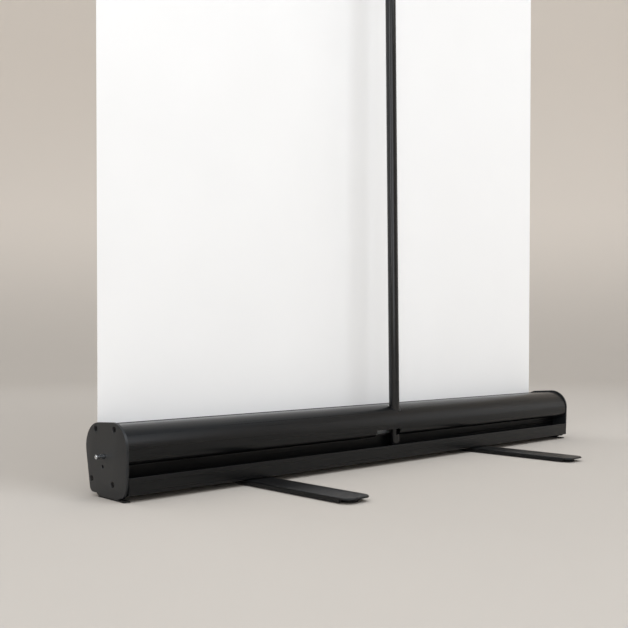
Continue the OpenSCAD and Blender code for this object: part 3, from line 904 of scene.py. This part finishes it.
# %% Collars with grip ribs
def rib(length=13.0):
    """One grip rib along Z, its foot sunk into the collar."""
    half = rounded([(-0.3, -0.55), (0.45, -0.55, 0.3), (0.45, 0.55, 0.3), (-0.3, 0.55)])
    rings = [[(x * k, y * k, z) for x, y in half]
             for k, z in ((0.4, 0), (1, 0.8), (1, length - 0.8), (0.4, length))]
    return solid("rib", skin(bmesh.new(), rings))


def ribbed_tree(one_rib):
    tree, given, result = geometry_tree("ribs_round_collar", ["Radius", "Height", "Ribs"])
    circle = add(tree, "GeometryNodeMeshCircle", {
        "Vertices": given.outputs["Ribs"], "Radius": given.outputs["Radius"],
    })
    lift = add(tree, "ShaderNodeCombineXYZ", {"Z": given.outputs["Height"]})
    raised = add(tree, "GeometryNodeTransform", {
        "Geometry": circle.outputs["Mesh"], "Translation": lift.outputs["Vector"],
    })
    share = add(tree, "ShaderNodeMath", {
        0: add(tree, "GeometryNodeInputIndex").outputs[0], 1: given.outputs["Ribs"],
    }, operation="DIVIDE")
    turn = add(tree, "ShaderNodeMath", {0: share.outputs[0], 1: 2 * math.pi}, operation="MULTIPLY")
    facing = add(tree, "ShaderNodeCombineXYZ", {"Z": turn.outputs[0]})
    master = add(tree, "GeometryNodeObjectInfo", {"Object": one_rib})
    ribs = add(tree, "GeometryNodeInstanceOnPoints", {
        "Points": raised.outputs["Geometry"], "Instance": master.outputs["Geometry"],
        "Rotation": facing.outputs["Vector"],
    })
    both = add(tree, "GeometryNodeJoinGeometry", {"Geometry": ribs.outputs["Instances"]})
    tree.links.new(given.outputs["Geometry"], both.inputs["Geometry"])
    real = add(tree, "GeometryNodeRealizeInstances", {"Geometry": both.outputs["Geometry"]})
    painted = add(tree, "GeometryNodeSetMaterial", {
        "Geometry": real.outputs["Geometry"], "Material": FINISH["black_plastic"],
    })
    tree.links.new(painted.outputs["Geometry"], result.inputs["Geometry"])
    return tree


COLLAR_H, COLLAR_WALL = 24.0, 1.85


def collar(mouth, outer_r, inner_r):
    """A collar round a tube's mouth, closed above by a ring that the next tube slides through."""
    foot, top, skirt = mouth - COLLAR_H + 6, mouth + 6, outer_r + COLLAR_WALL
    return solid("collar", turned([
        (outer_r + GAP, foot), (skirt - 0.8, foot), (skirt, foot + 1.2), (skirt, top - 3.5),
        (inner_r + 1.6, top), (inner_r + 0.1, top), (inner_r + 0.1, top - 5), (outer_r + GAP, top - 5),
    ], steps=64, loop=True))


one_rib = rib()
ribs = ribbed_tree(one_rib)
for name, node, body, mouth, outer_r, inner_r in (
        ("collar_lower", "pole_lower_collar", "root", LOWER_L, LOWER_R, MIDDLE_R),
        ("collar_middle", "pole_middle_collar", "pole_middle", MIDDLE_S + UPPER_L, MIDDLE_R, TOP_R)):
    made = grown(name, ribs, {
        "Radius": (outer_r + COLLAR_WALL) * MM, "Height": (mouth - 14) * MM, "Ribs": 18,
    }, collar(mouth, outer_r, inner_r))
    made.data.transform(Matrix.Scale(MM, 4) @ ON_POLE @ Matrix.Scale(1 / MM, 4))
    fit(made, body, [node], "black_plastic")
bpy.data.objects.remove(one_rib)

# %% [markdown]
# ## Clamp rail
# The rail is two thin extrusions. The back one is a plate with a slot behind it, where the pole's
# hook goes in, and the front one is a shallow cover whose two ribs press the film against the back.

# %% Clamp rail
RAIL_H, RAIL_WALL = 36.0, 1.8
BACK_Y = FILM_Y + FILM / 2 + 0.05
FRONT_Y = FILM_Y - FILM / 2 - 0.05
BACK_DEPTH, FRONT_DEPTH = 8.0, 7.0
HOOK_Z, HOOK_H, MOUTH = 13.0, 15.0, 8.0
HALF_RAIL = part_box("rail_back")[1].x / MM
EDGE = 0.35                          # rounding of the extrusions' corners


def at_rail(corners, y):
    return rounded([(y + corner[0], RAIL_Z + corner[1], EDGE if len(corner) == 2 else corner[2])
                    for corner in corners])


def rail_back():
    lip = (HOOK_H - MOUTH) / 2
    deep, slot_low, slot_high = BACK_DEPTH, HOOK_Z, HOOK_Z + HOOK_H
    return prism(at_rail([
        (0, 0), (RAIL_WALL, 0), (RAIL_WALL, slot_low - RAIL_WALL), (deep, slot_low - RAIL_WALL),
        (deep, slot_low + lip), (deep - RAIL_WALL, slot_low + lip), (deep - RAIL_WALL, slot_low),
        (RAIL_WALL, slot_low), (RAIL_WALL, slot_high), (deep - RAIL_WALL, slot_high),
        (deep - RAIL_WALL, slot_high - lip), (deep, slot_high - lip), (deep, slot_high + RAIL_WALL),
        (RAIL_WALL, slot_high + RAIL_WALL), (RAIL_WALL, RAIL_H), (0, RAIL_H),
    ], BACK_Y), -HALF_RAIL, HALF_RAIL)


def rail_front():
    deep, inside = -FRONT_DEPTH, -FRONT_DEPTH + RAIL_WALL
    ribs_at = []
    for low in (RAIL_H - 10, 8):
        ribs_at += [(inside, low + RAIL_WALL), (0, low + RAIL_WALL), (0, low), (inside, low)]
    return prism(at_rail([
        (0, 0), (deep, 0, 3), (deep, RAIL_H, 3), (0, RAIL_H), (0, RAIL_H - RAIL_WALL),
        (inside, RAIL_H - RAIL_WALL, 1), *ribs_at, (inside, RAIL_WALL, 1), (0, RAIL_WALL),
    ], FRONT_Y), -HALF_RAIL, HALF_RAIL)


def block(low, high, radius=0.5, corner=2.0):
    """A moulded block between two corners, its upright edges round and its other edges softened."""
    x0, y0, z0, x1, y1, z1 = (*low, *high)
    bm = prism(rounded([(y0, z0, corner), (y1, z0, corner), (y1, z1, corner), (y0, z1, corner)]), x0, x1)
    edges = [e for e in bm.edges if abs(e.verts[0].co.x - e.verts[1].co.x) < 1e-7]
    bmesh.ops.bevel(bm, geom=edges, offset=radius * MM, segments=3, profile=0.5, affect="EDGES")
    return bm


def block_in(node, **sizes):
    low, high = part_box(node)
    return block([c / MM for c in low], [c / MM for c in high], **sizes)


fit(solid("rail_rear_half", rail_back()), "top_rail", ["rail_back"], "cassette_shell")
fit(solid("rail_front_half", rail_front()), "top_rail", ["rail_front"], "cassette_shell")
for end in ("near", "far"):
    fit(solid(f"rail_end_{end}", block_in(f"rail_cap_{end}", radius=0.8, corner=3.0), crease=20),
        "top_rail", [f"rail_cap_{end}"], "black_plastic")

# %% Hook on the pole's tip
def tip_hook():
    bm = turned([(0, TIP_S - 20), (TOP_R - TUBE_WALL - GAP, TIP_S - 20), (TOP_R - TUBE_WALL - GAP, TIP_S),
                 (6.1, TIP_S), (6.5, TIP_S + 0.5), (6.5, TIP_S + 10), (4.5, TIP_S + 12), (0, TIP_S + 12)],
                ON_POLE)
    slot_in = BACK_Y + RAIL_WALL + 0.2
    arm_z = RAIL_Z + HOOK_Z + HOOK_H / 2
    tip_y = (ON_POLE @ Vector((0, 0, TIP_S))).y
    arm = block((-4, slot_in, arm_z - 3.6), (4, tip_y, arm_z + 3.6), 0.4, 0.8)
    tee = block((-8, slot_in, arm_z - 7.1), (8, slot_in + 3.5, arm_z + 7.1), 0.4, 1.2)
    for part in (arm, tee):
        shape = bpy.data.meshes.new("part")
        part.to_mesh(shape)
        bm.from_mesh(shape)
        part.free()
    return solid("pole_hook", bm, crease=25)


fit(tip_hook(), "top_rail", ["pole_tip_hook"], "black_plastic")

# %% [markdown]
# ## Feet
# Each foot is a pressed steel bar. Its long sides are turned down, which makes it stiff, and its
# round tips are left open. A rubber pad under each tip keeps it off the floor. The bar is drawn as
# one ring of points that shrinks towards the top, which gives the rounded pressed edge.

# %% Foot bars
FOOT_L, FOOT_W, CORNER_R = 336.0, 38.0, 11.0
SHEET, PRESS_R = 2.0, 1.6            # thickness of the steel, and radius of its pressed edge
PIVOT_OFFSET = 38.0
FOOT_LOW, FOOT_TOP = (corner.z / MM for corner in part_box("foot_bar_near"))


def bar_ring(inset, z, pivot):
    """The bar's outline, drawn in by inset, round its pivot at (x, y)."""
    half_w, half_l = FOOT_W / 2 - inset, FOOT_L / 2 - inset
    r = CORNER_R - inset
    corners = rounded([(half_w, -half_l, r), (half_w, half_l, r),
                       (-half_w, half_l, r), (-half_w, -half_l, r)], steps=10)
    return [(pivot[0] + x, pivot[1] + PIVOT_OFFSET + y, z) for x, y in corners]


def foot_bar(name, pivot):
    pressed = [(PRESS_R * (1 - math.cos(a)), FOOT_TOP - PRESS_R * (1 - math.sin(a)))
               for a in (math.radians(d) for d in (0, 18, 36, 54, 72, 90))]
    under = FOOT_TOP - SHEET
    rings = [(SHEET, under), (SHEET, FOOT_LOW), (0, FOOT_LOW)] + pressed
    piece = solid(name, skin(bmesh.new(), [bar_ring(inset, z, pivot) for inset, z in rings]), crease=25)
    gone = bmesh.new()
    for end in (-1, 1):
        tip = pivot[1] + PIVOT_OFFSET + end * (FOOT_L / 2 + 1)
        root = tip - end * (CORNER_R + 3)
        low, high = sorted((tip, root))
        prism([(low, FOOT_LOW - 1), (high, FOOT_LOW - 1), (high, under), (low, under)],
              pivot[0] - FOOT_W, pivot[0] + FOOT_W, gone)
    turned(rod(3.08, 0, 20), Matrix.Translation((*pivot, 0)), bm=gone)
    return combine(piece, gone, crease=25)


# %% Pads, washers and rivets
def foot_pads(name, pivot):
    bm = bmesh.new()
    for end in (-1, 1):
        where = Matrix.Translation((pivot[0], pivot[1] + PIVOT_OFFSET + end * (FOOT_L / 2 - 16), 0))
        turned([(0, 0), (3, 0), (3.6, 0.4), (4.2, 0), (6.2, 0), (6.8, 0.4), (7.4, 0), (8.6, 0), (9, 0.4),
                (9, 4.2), (8.6, FOOT_TOP - SHEET), (0, FOOT_TOP - SHEET)], where, bm=bm)
    return solid(name, bm)


def rivet(name, pivot):
    """A rivet set from above: a domed head in the cassette, and a flatter one inside the bar."""
    under, floor = FOOT_TOP - SHEET - 0.08, BASE_Z + WALL
    low_head = [(0, under - 1.8), (4.5, under - 1.8), (6.4, under - 1.2), (7, under - 0.4), (7, under)]
    high_head = [(6, floor), (6, floor + 0.3), (5, floor + 1.2), (3, floor + 1.7), (0, floor + 1.8)]
    return solid(name, turned(low_head + [(3, under), (3, floor)] + high_head,
                              Matrix.Translation((*pivot, 0))), crease=40)


for end in ("near", "far"):
    washer_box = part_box(f"foot_washer_{end}")
    pivot = ((washer_box[0] + washer_box[1]) / 2 / MM).xy
    body = f"foot_{end}"
    fit(foot_bar(f"foot_{end}_bar", pivot), body, [f"foot_bar_{end}"], "foot_steel")
    fit(foot_pads(f"foot_{end}_pads", pivot), body, [f"foot_pads_{end}"], "rubber_pad")
    washer = turned(tube(13, 3.08, washer_box[0].z / MM, washer_box[1].z / MM, 0.15),
                    Matrix.Translation((*pivot, 0)), loop=True)
    fit(solid(f"foot_{end}_washer", washer), "root", [f"foot_washer_{end}"], "plated_steel")
    fit(rivet(f"foot_{end}_rivet", pivot), "root", [f"foot_rivet_{end}"], "plated_steel")
    strip = block_in(f"end_pad_{end}", radius=0.3, corner=0.5)
    fit(solid(f"rubber_strip_{end}", strip, crease=20), "root", [f"end_pad_{end}"], "rubber_pad")

# %% [markdown]
# ## Studio
# The floor is a large disc of warm pale paper that curves up into a wall, as a studio's does, so no
# horizon shows. The key light is a big soft panel high behind the stand, on the pole's side. A tall
# narrow panel on the left draws the long highlight on the pole, and a dim one on the right lifts
# the far end. A low, broad panel behind the camera fills the shadows of the channel and the feet,
# another lights the film from its front, and a wide one overhead keeps the wall and floor even. The
# overhead one is left out of reflections, since it would whiten the top of the drum.

# %% Floor and wall
FLOOR_R, COVE_R, WALL_H = 2500.0, 2000.0, 5200.0


def studio_paper():
    """Matt paper, warm grey on the floor, with painted light: its colour turns paler up the wall, in place
    of lamps that light the wall.
    """
    material, tree, shader = finish("seamless_paper", "#bbb4ab", IOR=1.4, Specular_IOR_Level=0.2)
    texture(tree, shader, 60.0, (0.85, 0.95), 0.02, ("#bab3aa", "#bcb5ac"), detail=6.0)
    mottled = shader.inputs["Base Color"].links[0].from_socket
    where = add(tree, "ShaderNodeTexCoord")
    height = add(tree, "ShaderNodeSeparateXYZ", {0: where.outputs["Object"]})
    # painted light: over the first metre up the wall the paper's colour turns paler, as if lamps lit the
    # wall
    painted_light_mask = add(tree, "ShaderNodeMapRange", {
        "Value": height.outputs["Z"], "From Min": 0.0, "From Max": 1.0,
    }, interpolation_type="SMOOTHSTEP")
    painted_wall_light = add(tree, "ShaderNodeMix", {0: painted_light_mask.outputs["Result"], 6: mottled, 7: linear("#e0d7cc")},
                data_type="RGBA")
    tree.links.new(painted_wall_light.outputs[2], shader.inputs["Base Color"])
    return material


cove = [(FLOOR_R + COVE_R * math.sin(a), COVE_R * (1 - math.cos(a)))
        for a in (math.radians(d) for d in range(0, 91, 5))]
backdrop = solid("studio_floor", turned([(0, 0), (FLOOR_R, 0)] + cove[1:] + [(FLOOR_R + COVE_R, WALL_H)],
                                        steps=96, caps=False), crease=60)
backdrop.data.materials.append(studio_paper())

# %% Lights
def panel(name, place, aim, size, power, colour="#f1f7ff"):
    """A soft rectangular light that the camera itself doesn't see."""
    lamp = bpy.data.lights.new(name, "AREA")
    lamp.shape, lamp.energy, lamp.color = "RECTANGLE", power, linear(colour)[:3]
    lamp.size, lamp.size_y = size
    obj = bpy.data.objects.new(name, lamp)
    obj.location = place
    obj.rotation_euler = (Vector(aim) - Vector(place)).to_track_quat("-Z", "Y").to_euler()
    obj.visible_camera = False
    bpy.context.scene.collection.objects.link(obj)
    return obj


panel("key_panel", (-0.5, 2.2, 2.6), (0, 0, 0.4), (1.9, 1.9), 42)
panel("strip_left", (2.6, 0.5, 1.5), (0, 0, 0.5), (0.6, 2.0), 15)
panel("strip_right", (-2.6, 1.6, 1.0), (0, 0, 0.5), (1.2, 1.6), 4)
panel("camera_fill", (2.0, 2.6, 1.1), (0, 0, 0.4), (2.4, 1.8), 26)
panel("front_fill", (0.8, -2.6, 2.6), (0, 0, 0.6), (1.8, 1.8), 18)
ceiling = panel("ceiling_panel", (0, 0, 4.6), (0, 0, 0), (4.0, 4.0), 90)
ceiling.visible_glossy = False

world = bpy.data.worlds.new("studio_glow")
world.use_nodes = True
world.node_tree.nodes["Background"].inputs["Color"].default_value = linear("#f1f7ff")
world.node_tree.nodes["Background"].inputs["Strength"].default_value = 0.6
bpy.context.scene.world = world
bpy.context.scene.view_settings.view_transform = "Standard"
